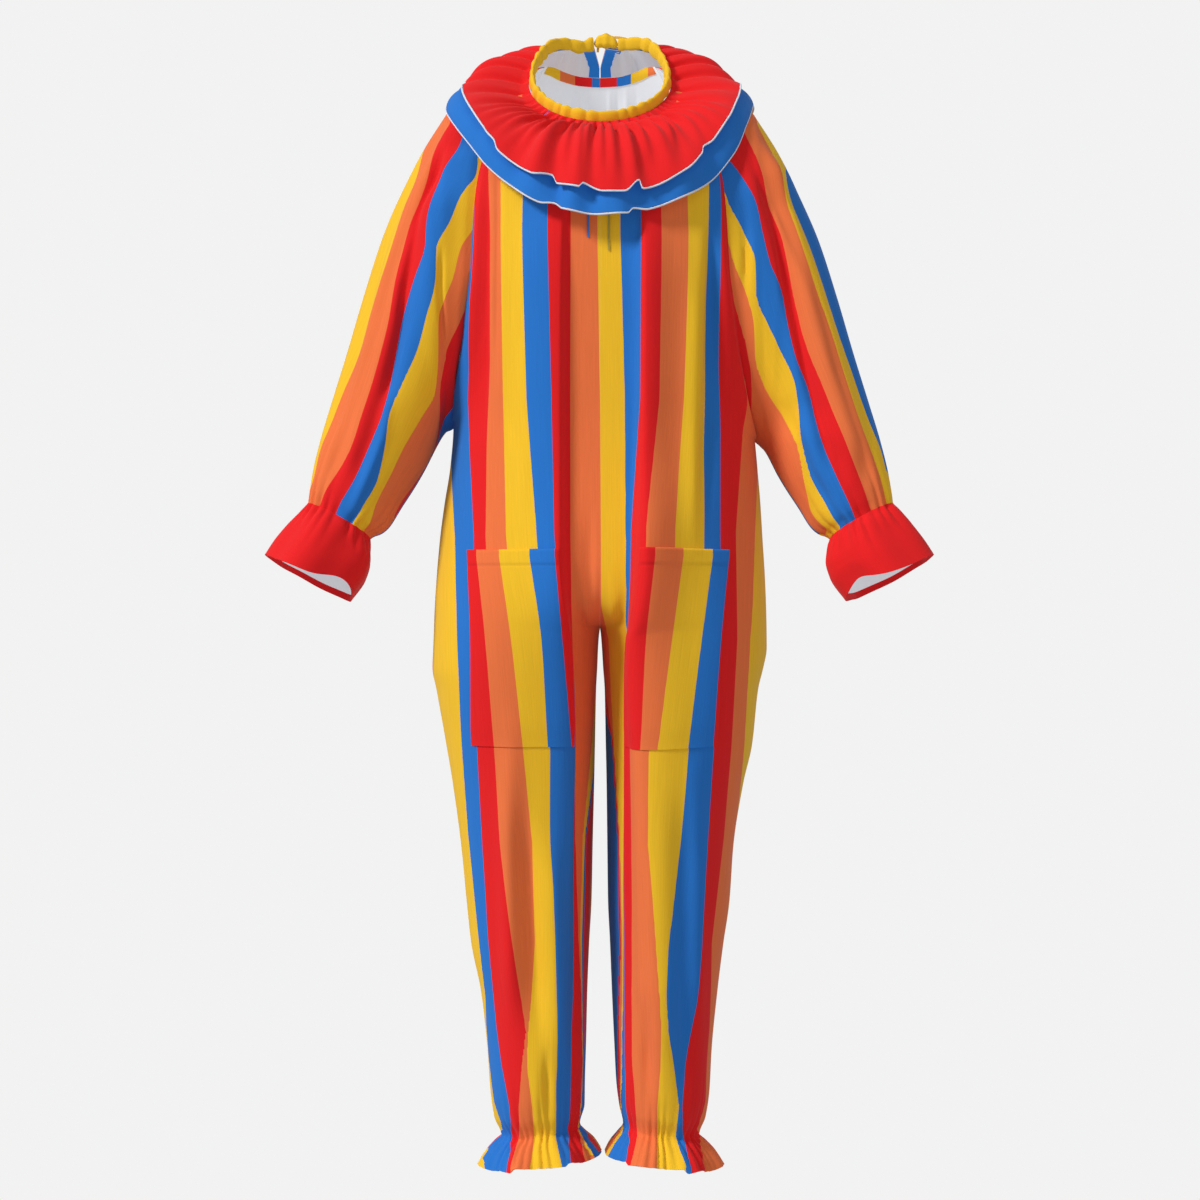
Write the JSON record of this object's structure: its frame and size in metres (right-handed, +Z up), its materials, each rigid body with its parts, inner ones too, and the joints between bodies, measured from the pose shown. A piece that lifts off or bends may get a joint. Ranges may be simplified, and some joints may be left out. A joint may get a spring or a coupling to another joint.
{
  "type": "clown costume jumpsuit",
  "caption": "Hollow, filled-out clown jumpsuit in vertical stripes with a layered ruffle collar, gathered neck band, flounced cuffs and ankles, and patch pockets.",
  "frame": {"origin": "in the neck, level with the shoulders that hold the garment up, midway between its sides and between its front and back side seams", "axes": "+Z up, the front faces -Y, and +X is on the right of someone looking at the front; in names left is -X and right is +X"},
  "size_m": [0.8462, 0.3207, 1.4893],
  "materials": {
    "striped_cloth": "matte printed polyester, vertical stripes in red, orange, yellow and blue, white inside",
    "red_cloth": "matte red polyester",
    "blue_cloth": "matte blue polyester",
    "yellow_cloth": "matte yellow polyester, gathered",
    "white_edging": "matte white rolled edging"
  },
  "bodies": {
    "root": {"back_left": "striped_cloth", "back_right": "striped_cloth", "collar_blue": "blue_cloth", "collar_red": "red_cloth", "cuff_left": "red_cloth", "cuff_right": "red_cloth", "edging_blue": "white_edging", "edging_red": "white_edging", "facing_left": "striped_cloth", "facing_right": "striped_cloth", "front_left": "striped_cloth", "front_right": "striped_cloth", "neck_band": "yellow_cloth", "placket_left": "blue_cloth", "placket_right": "blue_cloth", "pocket_left": "striped_cloth", "pocket_right": "striped_cloth", "sleeve_left": "striped_cloth", "sleeve_right": "striped_cloth", "tape_left": "blue_cloth", "tape_right": "blue_cloth", "tie_end_down": "yellow_cloth", "tie_end_right": "yellow_cloth", "tie_knot": "yellow_cloth"}
  },
  "joints": []
}
